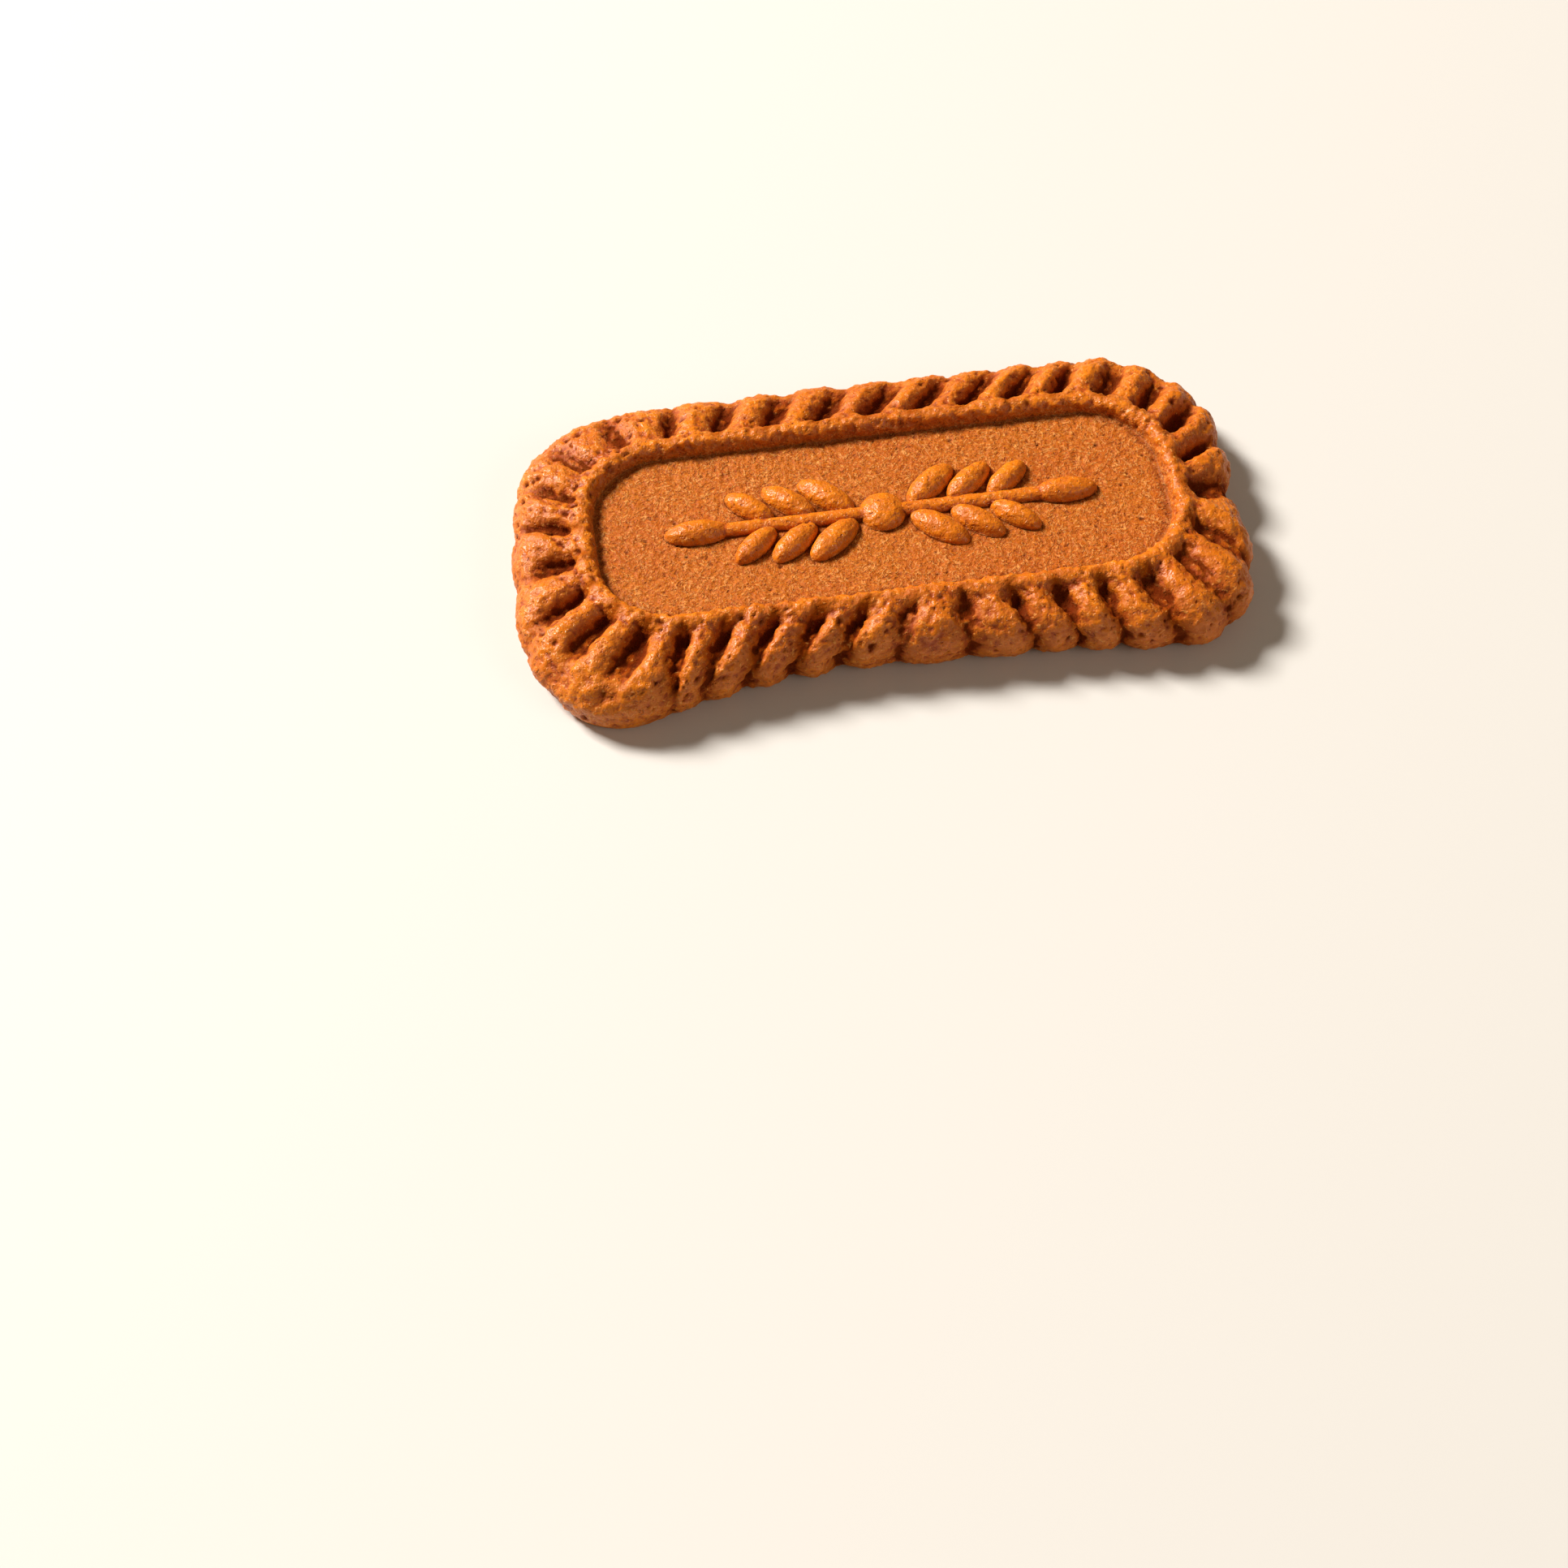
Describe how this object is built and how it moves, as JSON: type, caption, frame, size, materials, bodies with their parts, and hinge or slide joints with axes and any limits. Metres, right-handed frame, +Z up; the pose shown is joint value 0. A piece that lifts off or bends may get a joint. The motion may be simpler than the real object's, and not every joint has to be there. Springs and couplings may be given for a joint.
{
  "type": "speculoos biscuit",
  "caption": "Crisp spiced biscuit: a thin baked tablet with rounded corners, leaning ribs round its edge, and a sunken panel with a bead and raised ears of wheat.",
  "frame": {"origin": "on the flat underside, below the middle of the sunken panel", "axes": "X runs along the biscuit, Y across it, Z up out of the panel; the waisted side is at -Y"},
  "size_m": [0.0628, 0.0318, 0.0062],
  "materials": {
    "baked_dough": "baked, grainy, dull with small glints"
  },
  "bodies": {
    "root": {"biscuit": "baked_dough"}
  },
  "joints": []
}
